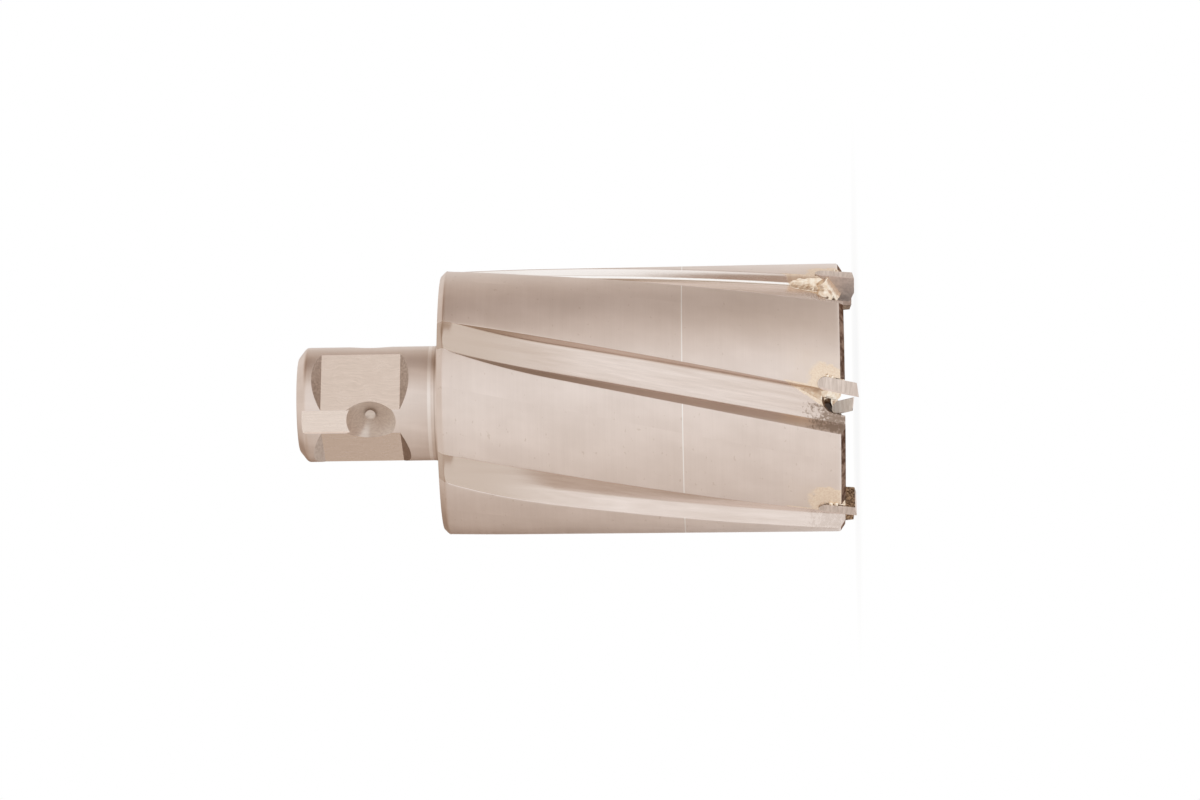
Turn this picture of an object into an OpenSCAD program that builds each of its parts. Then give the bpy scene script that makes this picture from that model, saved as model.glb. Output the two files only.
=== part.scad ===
// Annular cutter: a hollow hole cutter with brazed carbide tips and a one-touch drive shank.
// It stands on its cutting edges: Z is the axis, from the edges up to the end of the shank.

/* [Teeth] */
// Diameter over the tips, which is the hole that they cut
cut_d = 45; // [40:0.5:60]
// Number of tips, with one flute each
teeth = 6; // [4:1:8]
// How far the tips stand out of the body, on the radius
tip_out = 0.2; // [0.1:0.05:0.4]
// How far the tips stand into the bore, on the radius
tip_in = 0.45; // [0.2:0.05:0.8]
// How far the cutting edges stand below the rim
tip_drop = 2.2; // [1.5:0.1:3]
// Length of a tip along the flute, on the outside of the body
tip_len = 7; // [6:0.1:9]
// Slope of a tip's rounded end, which is longest on the outside
tip_slope = 36; // [20:1:40]
// Thickness of a tip, from its rake face to its back
tip_t = 2.2; // [1.8:0.1:2.8]
// How far a rake face stands proud of the flute's wall
tip_proud = 0.2; // [0.1:0.05:0.4]
// Relief angle behind a cutting edge
relief_angle = 7.5; // [4:0.5:12]
// Width of the square outer half of a cutting edge
edge_w = 2.7; // [1.5:0.1:4]
// Slope of the inner half of the edge on tips 1 and 4, which cut first
slope_1 = 6; // [0:1:25]
// Slope of the inner half of the edge on tips 2 and 5
slope_2 = 23; // [0:1:25]
// Slope of the inner half of the edge on tips 3 and 6
slope_3 = 1; // [0:1:25]
// How much higher the edges of tips 2 and 5 are ground than those of tips 1 and 4
rise_2 = 0.3; // [0:0.05:0.6]
// How much higher the edges of tips 3 and 6 are ground
rise_3 = 0.4; // [0:0.05:0.6]
// Relief angle of a tip's inner face
side_relief = 10; // [0:1:15]
// Thickness of the braze in a tip's seat
braze_gap = 0.12; // [0.08:0.01:0.2]
// Width of the braze bead on the flute's floor
bead_w = 1.8; // [1:0.1:2.4]
// Length of that bead beyond the end of the tip
bead_len = 3.7; // [2:0.1:6]
// Radius of the bead down the end of a tip
seam_r = 0.6; // [0.3:0.05:0.9]

/* [Body] */
// Length of the body, from the rim to the shoulder
body_len = 66.6; // [56:0.1:90]
// Wall of the hollow body at the rim
wall = 3.8; // [3.4:0.1:5]
// How much smaller the body's radius is at the shoulder
back_taper = 0.3; // [0:0.05:0.5]
// Thickness of the closed end
web = 12.6; // [8:0.1:20]
// Fillet inside the closed end
floor_fillet = 2; // [0.5:0.1:4]
// Chamfer of the shoulder's edge
shoulder_chamfer = 0.9; // [0.3:0.1:1.5]
// Length of the rim's chamfer along the axis
rim_chamfer_len = 0.8; // [0.3:0.1:1.2]
// Depth of the rim's chamfer on the radius
rim_chamfer_in = 1.2; // [0.3:0.1:1.5]

/* [Flutes] */
// Lead of the flutes' right-hand helix
helix_lead = 658; // [450:1:1200]
// Width of a flute around the body
flute_w = 7.05; // [5.5:0.05:9]
// Depth of a flute at its wall, behind the rake face
flute_wall = 1.8; // [1.2:0.1:2.4]
// Depth of a flute at its heel
flute_heel = 2.1; // [1.5:0.1:2.6]
// Slope of a flute's heel, from the floor up to the land
heel_slope = 54; // [45:1:70]
// Fillet between a flute's floor and its heel
flute_fillet = 0.5; // [0.2:0.1:1]
// Radius of the arc on which a flute runs out at the shoulder
runout_r = 75; // [40:1:150]
// Distance from the shoulder to where a flute's wall fades out
runout_gap = 2.6; // [1:0.1:6]
// Radius of the gullet in front of a tip
gullet_r = 2.3; // [1.8:0.1:2.8]
// Distance from the rake face to the middle of the gullet
gullet_gap = 1.1; // [0.6:0.1:1.6]
// Height of the gullet's end above the cutting edges, on the flute's floor
gullet_reach = 5.9; // [5:0.1:6.5]

/* [Shank] */
// Diameter of the shank
shank_d = 19.05; // [17:0.05:22]
// Length of the shank, from the shoulder to its end
shank_len = 24; // [22:0.5:36]
// Fillet between the shank and the shoulder
shank_fillet = 1.5; // [0.5:0.1:2]
// Length of the chamfer at the shank's end, along the axis
end_chamfer_len = 1.4; // [0.5:0.1:2]
// Depth of that chamfer on the radius
end_chamfer_in = 1.8; // [0.5:0.1:2]
// Bore through the shank for a pilot pin
pilot_d = 8; // [6:0.05:8.5]
// Chamfer at the mouth of the pilot bore
pilot_chamfer = 0.8; // [0.2:0.1:1]

/* [Drive] */
// Direction of the groove between the two flats, about the axis
drive_turn = -108; // [-180:1:180]
// Number of locking dimples, each with its groove
dimples = 3; // [1:1:3]
// Diameter of a dimple at the shank's surface
dimple_d = 8.9; // [7:0.1:9.5]
// Distance from the shank's end to the middle of a dimple
dimple_drop = 12.1; // [10:0.1:14]
// Diameter of the flat-bottomed hole at a dimple's point
point_d = 1.8; // [1:0.1:2.4]
// Depth of that hole
point_depth = 0.5; // [0.2:0.1:0.8]
// Width of a locking groove
groove_w = 3.9; // [3:0.1:5]
// Depth of a locking groove
groove_depth = 0.66; // [0.4:0.02:1]
// Depth of a drive flat
flat_depth = 1.525; // [1:0.025:2]
// Length of a drive flat along the axis
flat_len = 13.1; // [9:0.1:15]
// Distance from the shank's end to a drive flat
flat_drop = 4.1; // [3:0.1:6]
// Angle from the groove to the middle of each flat
flat_angle = 45; // [40:1:60]

/* [Hidden] */
$fn = 128;

// Radii and heights that follow from the sizes above
cut_r = cut_d / 2;
body_r = cut_r - tip_out;
back_r = body_r - back_taper;
bore_r = body_r - wall;
slug_r = bore_r - tip_in;
shank_r = shank_d / 2;
pilot_r = pilot_d / 2;
rim_z = tip_drop;
shoulder_z = rim_z + body_len;
floor_z = shoulder_z - web;
top_z = shoulder_z + shank_len;

// The tooth numbered 1 points along -Y
first_tooth = -90;
pitch = 360 / teeth;
tip_tilt = atan(PI * cut_d / helix_lead);
tip_r = tip_t / 2;

// Flute: where its floor leaves the parallel stretch, and how far the floor may rise above the body
runout_z = shoulder_z - runout_gap - sqrt(2 * runout_r * flute_wall - pow(flute_wall, 2));
over = 0.8;
clear_r = body_r + 2 * over + flute_fillet;
slice_below = 1;
slice_above = 0.5;
straight_slices = 14;
runout_slices = 14;
fillet_steps = 3;

// Gullet: its end slopes a little, down from the flute's floor to the bore
gullet_slope = 12;
flute_floor_r = body_r - flute_wall;
seam_back = seam_r / 2;
reach = 2 * (wall + tip_len);

// Tips of three kinds follow each other around the body
edge_slopes = [slope_1, slope_2, slope_3];
edge_rises = [0, rise_2, rise_3];

// Shank: the cone of a dimple narrows at 45 degrees from the surface to the flat-bottomed point
dimple_r = dimple_d / 2;
point_r = point_d / 2;
point_at = shank_r - (dimple_r - point_r);
dimple_z = top_z - dimple_drop;
flat_at = shank_r - flat_depth;
flat_top_z = top_z - flat_drop;

// Cutters reach this far past the faces that they open
past = 2;

function degrees_of(arc) = arc / body_r * 180 / PI;
function helix_turn(z) = 360 * z / helix_lead;
function wall_angle(z) = degrees_of(tip_proud) + helix_turn(z);
function share(z) = min(1, max(0, (z - rim_z) / body_len));
function outer_r(z) = body_r - back_taper * share(z);

// The floor's rise on the run-out arc, up to just outside the body
function arc_rise(run) =
    run <= 0 ? 0
    : run >= runout_r ? runout_r
    : runout_r - sqrt(pow(runout_r, 2) - pow(run, 2));
function floor_rise(z) = min(arc_rise(z - runout_z), flute_wall + over);

// A flute's section at height z: arc length from its wall towards its heel, and radius
function flute_section(z) =
    let (
        lift = outer_r(z) + floor_rise(z),
        heel_r = lift - flute_heel,
        foot = flute_w - flute_heel / tan(heel_slope) - flute_fillet * tan(heel_slope / 2)
    )
    concat(
        [[0, clear_r], [0, lift - flute_wall]],
        [for (i = [0 : fillet_steps])
            let (a = heel_slope * i / fillet_steps)
            [foot + flute_fillet * sin(a), heel_r + flute_fillet * (1 - cos(a))]],
        [[flute_w + (clear_r - lift) / tan(heel_slope), clear_r]]
    );

function around(arc_radius, z) =
    let (turn = wall_angle(z) - degrees_of(arc_radius[0]))
    [arc_radius[1] * cos(turn), arc_radius[1] * sin(turn), z];

// Heights of a flute's slices, from below the rim to above the shoulder
function slice_heights() = concat(
    [for (i = [0 : straight_slices - 1]) -slice_below + (runout_z + slice_below) * i / straight_slices],
    [for (i = [0 : runout_slices]) runout_z + (shoulder_z + slice_above - runout_z) * i / runout_slices]
);

// A solid through a stack of equal rings, as triangles
module stacked(rings) {
    n = len(rings[0]);
    last = len(rings) - 1;
    points = [for (ring = rings) each ring];
    sides = [for (i = [0 : last - 1], j = [0 : n - 1])
        let (a = i * n + j, b = i * n + (j + 1) % n)
        each [[a, a + n, b + n], [a, b + n, b]]];
    foot = [for (j = [0 : n - 1]) j];
    head = [for (j = [n - 1 : -1 : 0]) last * n + j];
    polyhedron(points, concat([foot, head], sides));
}

// Places its children at tooth k, with X along the radius and Y towards the tip's back
module at_tooth(k) {
    rotate([0, 0, first_tooth + (k - 1) * pitch]) children();
}

module along_flute() {
    rotate([-tip_tilt, 0, 0]) children();
}

module flute() {
    stacked([for (z = slice_heights()) [for (p = flute_section(z)) around(p, z)]]);
}

// Frame of a cut with a rounded end that slopes inwards: its end has the height end_z at the radius end_r
module at_sloped_end(slope, r, end_r, end_z) {
    along_flute() translate([end_r, 0, end_z - r / cos(slope)]) rotate([0, 90 - slope, 0]) children();
}

module at_gullet() {
    at_sloped_end(gullet_slope, gullet_r, flute_floor_r, gullet_reach) children();
}

module at_seat() {
    at_sloped_end(tip_slope, tip_r, body_r, tip_len) children();
}

// Outline of a slot with a round end, open towards the cutting edges
module slot_outline(r, mid) {
    translate([0, mid]) {
        circle(r);
        translate([0, -r]) square([reach, 2 * r]);
    }
}

module gullet() {
    at_gullet() translate([0, 0, -reach]) linear_extrude(2 * reach) intersection() {
        slot_outline(gullet_r, -gullet_gap);
        translate([-reach, -reach]) square([2 * reach, reach]);
    }
}

// A tip's slab, or with a gap around it the seat that is milled for it through the wall
module tip_slot(gap) {
    at_seat() translate([0, 0, -reach]) linear_extrude(2 * reach) slot_outline(tip_r + gap, tip_r);
}

module seat() {
    tip_slot(braze_gap);
}

// Everything that is turned: body, closed end and shank, with their bores
module turned_blank() {
    rotate_extrude() {
        polygon([
            [bore_r, rim_z],
            [body_r - rim_chamfer_in, rim_z],
            [body_r, rim_z + rim_chamfer_len],
            [back_r, shoulder_z - shoulder_chamfer],
            [back_r - shoulder_chamfer, shoulder_z],
            [shank_r, shoulder_z],
            [shank_r, top_z - end_chamfer_len],
            [shank_r - end_chamfer_in, top_z],
            [pilot_r + pilot_chamfer, top_z],
            [pilot_r, top_z - pilot_chamfer],
            [pilot_r, floor_z],
            [bore_r, floor_z]
        ]);
        translate([shank_r, shoulder_z]) corner_fillet(shank_fillet);
        translate([bore_r, floor_z]) rotate(180) corner_fillet(floor_fillet);
    }
}

// Fills an inside corner at the origin with a concave fillet
module corner_fillet(r) {
    difference() {
        square(r);
        translate([r, r]) circle(r);
    }
}

// A flat with ends that slope out at 45 degrees
module drive_flat() {
    depth = flat_depth + past;
    translate([flat_at, shank_d / 2, flat_top_z - flat_len]) rotate([90, 0, 0]) linear_extrude(shank_d)
        polygon([[0, 0], [depth, -depth], [depth, flat_len + depth], [0, flat_len]]);
}

// A dimple that a ball locks into, with the groove that leads the ball in from the shank's end
module locking_dimple() {
    translate([0, 0, dimple_z]) rotate([0, 90, 0]) {
        translate([0, 0, point_at])
            cylinder(h = dimple_r - point_r + past, r1 = point_r, r2 = dimple_r + past);
        translate([0, 0, point_at - point_depth]) cylinder(h = point_depth + past, r = point_r);
    }
    translate([shank_r - groove_depth, -groove_w / 2, dimple_z])
        cube([groove_depth + past, groove_w, dimple_drop + past]);
}

module drive_cuts() {
    rotate([0, 0, drive_turn]) {
        for (side = [-1, 1]) rotate([0, 0, side * flat_angle]) drive_flat();
        for (i = [0 : dimples - 1]) rotate([0, 0, i * 360 / dimples]) locking_dimple();
    }
}

module cutter_body() {
    color("#b9aca2") difference() {
        turned_blank();
        for (k = [1 : teeth]) at_tooth(k) {
            flute();
            gullet();
            seat();
        }
        drive_cuts();
    }
}

// What is ground off below a cutting edge: square outside, sloping inside, rising behind
module below_edge(slope, rise) {
    depth = tip_drop + tip_t;
    corner_r = cut_r - edge_w;
    inside_r = slug_r - past;
    translate([0, 0, rise]) rotate([relief_angle, 0, 0]) translate([0, 2 * depth, 0]) rotate([90, 0, 0])
        linear_extrude(4 * depth) polygon([
            [inside_r, -depth],
            [cut_r + past, -depth],
            [cut_r + past, 0],
            [corner_r, 0],
            [inside_r, (corner_r - inside_r) * tan(slope)]
        ]);
}

// A tip before its edge is ground: round outside, its flat inner face drawn back behind the rake face
module tip_slab() {
    intersection() {
        translate([0, 0, -tip_drop]) cylinder(h = tip_len + 2 * tip_drop, r = cut_r);
        translate([slug_r, 0, -tip_drop]) rotate([0, 0, -side_relief]) translate([0, -wall, 0])
            cube([2 * wall, 3 * wall, tip_len + 2 * tip_drop]);
        tip_slot(0);
    }
}

module carbide_tip(k) {
    kind = (k - 1) % len(edge_slopes);
    color("#8d8680") at_tooth(k) difference() {
        tip_slab();
        below_edge(edge_slopes[kind], edge_rises[kind]);
    }
}

// The film that fills a seat around its tip
module seat_film() {
    difference() {
        seat();
        flute();
        gullet();
    }
}

// The bead in the corner of the flute, which tapers off above the tip and runs into the film
module flute_bead() {
    rise = tip_len - gullet_reach + bead_len;
    difference() {
        intersection() {
            along_flute() translate([flute_floor_r, tip_proud, gullet_reach - bead_w / 2])
                cylinder(h = rise + bead_w / 2, r1 = bead_w, r2 = braze_gap);
            union() {
                flute();
                seat();
            }
        }
        gullet();
    }
}

// The bead down the sloping end of a tip, beside its rake face, which runs into both others
module end_bead() {
    intersection() {
        at_seat() translate([-seam_back, 0, -2 * wall]) cylinder(h = 4 * wall, r = seam_r);
        union() {
            flute();
            gullet();
            seat();
        }
    }
}

module braze(k) {
    color("#c9a76a") at_tooth(k) difference() {
        intersection() {
            turned_blank();
            union() {
                seat_film();
                flute_bead();
                end_bead();
            }
        }
        tip_slab();
    }
}

cutter_body();
for (k = [1 : teeth]) carbide_tip(k);
for (k = [1 : teeth]) braze(k);
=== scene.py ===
import math

import bpy
import bmesh
import numpy as np
from mathutils import Matrix, Vector, noise


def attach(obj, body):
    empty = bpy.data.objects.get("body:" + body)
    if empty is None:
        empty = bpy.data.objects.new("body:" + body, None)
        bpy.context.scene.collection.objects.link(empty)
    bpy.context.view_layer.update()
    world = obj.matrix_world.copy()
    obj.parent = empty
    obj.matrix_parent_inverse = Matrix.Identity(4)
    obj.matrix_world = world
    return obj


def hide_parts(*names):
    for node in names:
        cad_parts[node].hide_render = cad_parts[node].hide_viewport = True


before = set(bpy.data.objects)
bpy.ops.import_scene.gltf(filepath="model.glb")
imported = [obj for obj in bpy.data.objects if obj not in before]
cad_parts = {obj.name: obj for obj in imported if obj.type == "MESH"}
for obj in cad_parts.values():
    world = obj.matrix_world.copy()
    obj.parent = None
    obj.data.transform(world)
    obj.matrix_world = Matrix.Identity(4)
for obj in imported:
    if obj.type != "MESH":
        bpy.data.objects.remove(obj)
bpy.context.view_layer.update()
mm = 0.001
white = (1, 1, 1, 1)
print("frame loaded")

# sizes in mm, in the frame of the solids: z up the axis from the cutting edges, tooth 1 towards -y
cutter = {
    "teeth": 6, "cutR": 22.5, "bodyR": 22.3, "backTaper": 0.3, "boreR": 18.5, "boreChamfer": 0.25,
    "rimZ": 2.2, "shoulderZ": 68.8, "floorZ": 56.2, "topZ": 92.8, "lead": 658.0,
    "rimChamferLen": 0.8, "rimChamferIn": 1.2, "shoulderChamfer": 0.9, "floorFillet": 2.0,
    "tipProud": 0.2, "tipT": 2.2, "tipLen": 7.0, "tipSlope": 36.0, "brazeGap": 0.12,
}
middleTooth, topTooth, farTooth, lowerTooth = 0, 1, 3, 5  # where the photograph shows them, counted from 0
bodyLen = cutter["shoulderZ"] - cutter["rimZ"]
pitchAngle = 2 * math.pi / cutter["teeth"]
pitchArc = pitchAngle * cutter["bodyR"]
tipTilt = math.atan(2 * math.pi * cutter["cutR"] / cutter["lead"])
firstTooth = -math.pi / 2


# short hand for wiring shader nodes
class Wires:
    def __init__(self, tree):
        self.tree = tree

    def node(self, kind, **options):
        made = self.tree.nodes.new(kind)
        for name, value in options.items():
            setattr(made, name, value)
        return made

    def put(self, socket, value):
        if isinstance(value, bpy.types.NodeSocket):
            self.tree.links.new(value, socket)
        else:
            socket.default_value = value

    def math(self, operation, a, b=0.0, c=0.0, clamp=False):
        made = self.node("ShaderNodeMath", operation=operation, use_clamp=clamp)
        for socket, value in zip(made.inputs, (a, b, c)):
            self.put(socket, value)
        return made.outputs[0]

    def times(self, a, b):
        return self.math("MULTIPLY", a, b)

    def plus(self, a, b):
        return self.math("ADD", a, b)

    def minus(self, a, b):
        return self.math("SUBTRACT", a, b)

    def larger(self, a, b):
        return self.math("MAXIMUM", a, b)

    def length(self, x, y):
        return self.math("SQRT", self.plus(self.times(x, x), self.times(y, y)))

    def isTooth(self, place, number):
        return self.math("COMPARE", place["Tooth"], float(number), 0.5)

    def ramp(self, value, low, high, toLow=0.0, toHigh=1.0):
        made = self.node("ShaderNodeMapRange", interpolation_type="SMOOTHSTEP")
        names = ("Value", "From Min", "From Max", "To Min", "To Max")
        for name, entry in zip(names, (value, low, high, toLow, toHigh)):
            self.put(made.inputs[name], entry)
        return made.outputs["Result"]

    def fall(self, value, low, high):
        return self.ramp(value, low, high, 1.0, 0.0)

    def window(self, value, low, high, soft):
        up, down = self.ramp(value, low - soft, low + soft), self.fall(value, high - soft, high + soft)
        return self.times(up, down)

    def coords(self, kind="Object"):
        return self.node("ShaderNodeTexCoord").outputs[kind]

    def split(self, vector):
        made = self.node("ShaderNodeSeparateXYZ")
        self.put(made.inputs[0], vector)
        return made.outputs

    def inMm(self):
        return [self.times(s, 1 / mm) for s in self.split(self.coords())]

    def join(self, x, y, z):
        made = self.node("ShaderNodeCombineXYZ")
        for socket, value in zip(made.inputs, (x, y, z)):
            self.put(socket, value)
        return made.outputs[0]

    def noise(self, vector, scale, detail=2.0, roughness=0.5):
        made = self.node("ShaderNodeTexNoise", noise_dimensions="3D")
        self.put(made.inputs["Vector"], vector)
        for name, value in zip(("Scale", "Detail", "Roughness"), (scale, detail, roughness)):
            made.inputs[name].default_value = value
        return made.outputs["Fac"]

    def mixColour(self, fac, a, b, blend="MIX"):
        made = self.node("ShaderNodeMix", data_type="RGBA", blend_type=blend)
        for index, value in ((0, fac), (6, a), (7, b)):
            self.put(made.inputs[index], value)
        return made.outputs[2]

    def mixValue(self, fac, a, b):
        made = self.node("ShaderNodeMix", data_type="FLOAT")
        for index, value in ((0, fac), (2, a), (3, b)):
            self.put(made.inputs[index], value)
        return made.outputs[0]

    def group(self, tree, **entries):
        made = self.node("ShaderNodeGroup", node_tree=tree)
        for name, value in entries.items():
            self.put(made.inputs[name], value)
        return made.outputs


# inputs are named with their starting values, outputs with the kind of socket
def newGroup(name, inputs, outputs):
    tree = bpy.data.node_groups.new(name, "ShaderNodeTree")
    for label, start in inputs.items():
        made = tree.interface.new_socket(label, in_out="INPUT", socket_type="NodeSocketFloat")
        made.default_value = start
    for label, kind in outputs.items():
        tree.interface.new_socket(label, in_out="OUTPUT", socket_type="NodeSocket" + kind)
    w = Wires(tree)
    return tree, w, w.node("NodeGroupInput").outputs, w.node("NodeGroupOutput").inputs


# where a point lies: mm round from the nearest rake face, below 0 in the flute; height, radius and tooth
def makeToothMap():
    outputs = dict.fromkeys(("Arc", "Height", "Radius", "Tooth"), "Float")
    tree, w, _, out = newGroup("toothMap", {}, outputs)
    x, y, z = w.inMm()
    turn = w.plus(w.math("ARCTAN2", y, x), -firstTooth)
    turn = w.minus(turn, w.times(z, 2 * math.pi / cutter["lead"]))
    phase = w.math("DIVIDE", turn, pitchAngle)
    tooth = w.math("ROUND", phase)
    w.put(out["Arc"], w.times(w.minus(phase, tooth), pitchArc))
    w.put(out["Height"], z)
    w.put(out["Radius"], w.length(x, y))
    w.put(out["Tooth"], w.math("FLOORED_MODULO", tooth, float(cutter["teeth"])))
    return tree


toothMap = makeToothMap()


# fine parallel tool marks across one direction, and slow cloudiness
def makeToolMarks():
    inputs = {"Across": 0.0, "Along": 0.0, "Fine": 6.0, "Stretch": 0.03}
    tree, w, given, out = newGroup("toolMarks", inputs, {"Lines": "Float", "Cloud": "Float"})
    fine = w.times(given["Across"], given["Fine"])
    slide = w.times(w.times(given["Along"], given["Fine"]), given["Stretch"])
    lines = w.noise(w.join(fine, slide, 0.0), 1.0, 3.0, 0.65)
    broad = w.noise(w.join(w.times(fine, 0.21), w.times(slide, 0.4), 3.1), 1.0)
    w.put(out["Lines"], w.mixValue(0.4, lines, broad))
    cloud = w.join(w.times(given["Across"], 0.11), w.times(given["Along"], 0.16), 7.7)
    w.put(out["Cloud"], w.noise(cloud, 1.0, 3.0, 0.55))
    return tree


toolMarks = makeToolMarks()

steel = {
    "tone": (0.83, 0.73, 0.675, 1), "deep": (0.70, 0.60, 0.54, 1), "bright": (1.0, 0.98, 0.96, 1),
    "gold": (0.95, 0.82, 0.67, 1), "dull": (0.84, 0.68, 0.53, 1),  # wetted by braze
    # of the next three tones, the second is painted shade for a heel fillet, the third serves as smoke and as
    # painted shade
    "burnt": (0.34, 0.25, 0.19, 1), "heelShadeTone": (0.42, 0.31, 0.24, 1), "smokeAndShade": (0.56, 0.45, 0.37, 1),
}

# braze that has wetted the steel round each tip, and burnt flux further off: arcs and heights in mm
stainForm = {
    "landReach": 4.3, "lowerReach": 6.0, "landTop": 8.2, "cornerArc": 2.0, "cornerTop": 7.4, "ragged": 3.4,
    "wedgeTop": 11.2, "wedgeWidth": 0.52, "wedgeStart": -2.9, "haloArc": (-4.0, 6.5), "haloTop": (8.0, 14.0),
    "fluxHeight": (2.5, 13.0), "fluxArc": (-6.9, -2.2), "fluxMiddle": 1.0, "fluxOthers": 0.25,
}


def makeBrazeStain():
    s = stainForm
    outputs = {"Wet": "Float", "Halo": "Float", "Flux": "Float", "Gold": "Color"}
    tree, w, _, out = newGroup("brazeStain", {}, outputs)
    place = w.group(toothMap)
    arc, high = place["Arc"], place["Height"]
    seed = w.times(place["Tooth"], 13.7)
    spot = w.join(arc, high, seed)
    cloud = w.noise(spot, 0.55, 3.0, 0.6)
    wobble = w.times(w.minus(cloud, 0.5), s["ragged"])
    # behind the tip, on the land, with the far upper corner cut off
    reach = w.mixValue(w.isTooth(place, lowerTooth), s["landReach"], s["lowerReach"])
    landSide = w.times(w.fall(w.plus(w.minus(arc, reach), wobble), -0.3, 0.15),
                       w.fall(w.plus(w.minus(high, s["landTop"]), wobble), -0.6, 0.3))
    slant = w.plus(w.times(w.minus(arc, s["cornerArc"]), 0.9), w.minus(high, s["cornerTop"]))
    slant = w.minus(slant, w.minus(reach, s["landReach"]))
    landSide = w.times(w.times(landSide, w.fall(slant, 0.6, 2.0)), w.ramp(arc, -0.05, 0.05))
    # on the flute's floor, a wedge that narrows towards the shank
    wedge = w.plus(w.times(w.minus(s["wedgeTop"], high), s["wedgeWidth"]), arc)
    wedge = w.plus(wedge, w.times(wobble, 0.22))
    fluteSide = w.times(w.ramp(wedge, -0.08, 0.12), w.ramp(arc, s["wedgeStart"], s["wedgeStart"] + 0.4))
    fluteSide = w.times(fluteSide, w.fall(arc, 0.45, 0.6))
    w.put(out["Wet"], w.larger(landSide, fluteSide))
    halo = w.times(w.window(arc, *s["haloArc"], 1.5), w.fall(high, *s["haloTop"]))
    w.put(out["Halo"], w.times(halo, cloud))
    # dark pitted flux on the floor of the flute, thicker towards the rim
    grit = w.noise(spot, 1.9, 4.0, 0.7)
    patch = w.noise(w.join(arc, high, w.plus(seed, 4.0)), 0.5)
    near = w.times(w.fall(high, *s["fluxHeight"]), w.window(arc, *s["fluxArc"], 0.5))
    level = w.plus(w.times(near, 0.36), w.times(w.minus(patch, 0.5), 0.35))
    speck = w.times(w.ramp(w.plus(grit, level), 0.64, 0.84), w.ramp(near, 0.05, 0.3))
    most = w.mixValue(w.isTooth(place, middleTooth), s["fluxOthers"], s["fluxMiddle"])
    w.put(out["Flux"], w.times(speck, most))
    grain = w.noise(spot, 3.2, 3.0, 0.65)
    w.put(out["Gold"], w.mixColour(w.ramp(grain, 0.3, 0.7), steel["dull"], steel["gold"]))
    return tree


brazeStain = makeBrazeStain()


def newMaterial(name):
    made = bpy.data.materials.new(name)
    made.use_nodes = True
    return made, Wires(made.node_tree), made.node_tree.nodes["Principled BSDF"]


# bare metal with a bump, whose distance is in metres
def finishMetal(w, shader, tone, rough, height, distance, strength):
    w.put(shader.inputs["Base Color"], tone)
    w.put(shader.inputs["Roughness"], rough)
    shader.inputs["Metallic"].default_value = 1.0
    bump = w.node("ShaderNodeBump")
    w.put(bump.inputs["Height"], height)
    bump.inputs["Distance"].default_value = distance
    bump.inputs["Strength"].default_value = strength
    w.put(shader.inputs["Normal"], bump.outputs["Normal"])


# steel with darker tool marks, shaded by slow clouds
def markedTone(w, lines, share, clouds, shade):
    tone = w.mixColour(w.ramp(lines, 0.3, 0.7), steel["deep"], steel["tone"])
    tone = w.mixColour(share, steel["tone"], tone)
    return w.mixColour(1.0, tone, w.mixColour(clouds, shade, white), "MULTIPLY")


# turned steel of the lands and the shank: marks run round the axis
turned = {
    "landFine": 5.0, "shankFine": 4.0, "stretch": 0.012, "marks": 0.22, "shade": (0.92, 0.91, 0.90, 1),
    "rough": (0.30, 0.44), "bump": (0.00001, 0.5),
}


def turnedBase(w, place, fine):
    arc, high = place["Arc"], place["Height"]
    marks = w.group(toolMarks, Across=high, Along=arc, Fine=fine, Stretch=turned["stretch"])
    tone = markedTone(w, marks["Lines"], turned["marks"], w.ramp(marks["Cloud"], 0.3, 0.75), turned["shade"])
    return marks["Lines"], tone, w.mixValue(marks["Lines"], *turned["rough"])


# the upper land gets painted shade near the rim, and a fine line is scribed round the body
land = {
    # painted shade on the upper land: the heights over which it fades, and its depth
    "halo": (0.80, 0.66, 0.52, 1), "upperShadeHeight": (14.0, 50.0), "upperShade": 0.42, "fleck": 0.35,
    "line": (28.62, 28.78), "lineShare": 0.8,
}


def makeLandSteel():
    made, w, shader = newMaterial("landSteel")
    place, stain = w.group(toothMap), w.group(brazeStain)
    arc, high = place["Arc"], place["Height"]
    lines, tone, rough = turnedBase(w, place, turned["landFine"])
    tone = w.mixColour(w.times(stain["Halo"], 0.35), tone, land["halo"])
    tone = w.mixColour(w.times(stain["Wet"], 0.9), tone, stain["Gold"])
    # painted shade on the side of the land that faces up, deepest near the rim
    upperShade = w.plus(w.times(w.isTooth(place, middleTooth), w.ramp(arc, 3.5, 11.0)),
                   w.times(w.isTooth(place, topTooth), w.fall(arc, -6.0, -5.0)))
    upperShade = w.times(upperShade, w.ramp(high, *land["upperShadeHeight"], land["upperShade"], 0.0))
    tone = w.mixColour(upperShade, tone, steel["smokeAndShade"])
    fleck = w.noise(w.join(arc, w.times(high, 1.6), place["Tooth"]), 0.9)
    tone = w.mixColour(w.ramp(fleck, 0.69, 0.715, 0.0, land["fleck"]), tone, steel["smokeAndShade"])
    scribed = w.times(w.window(high, *land["line"], 0.05), land["lineShare"])
    tone = w.mixColour(scribed, tone, steel["bright"])
    finishMetal(w, shader, tone, w.mixValue(stain["Wet"], rough, 0.5), lines, *turned["bump"])
    return made


# a paler and a darker band at the root of the shank, by height
shankBands = {
    "pale": (70.45, 71.0), "paleTone": (0.96, 0.90, 0.86, 1), "paleShare": 0.7,
    "dark": (69.75, 69.95), "darkTone": (0.45, 0.36, 0.30, 1), "darkShare": 0.6,
}


def makeShankSteel():
    made, w, shader = newMaterial("shankSteel")
    place = w.group(toothMap)
    lines, tone, rough = turnedBase(w, place, turned["shankFine"])
    pale = w.times(w.window(place["Height"], *shankBands["pale"], 0.08), shankBands["paleShare"])
    dark = w.times(w.window(place["Height"], *shankBands["dark"], 0.06), shankBands["darkShare"])
    tone = w.mixColour(pale, tone, shankBands["paleTone"])
    tone = w.mixColour(dark, tone, shankBands["darkTone"])
    finishMetal(w, shader, tone, rough, lines, *turned["bump"])
    return made


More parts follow.
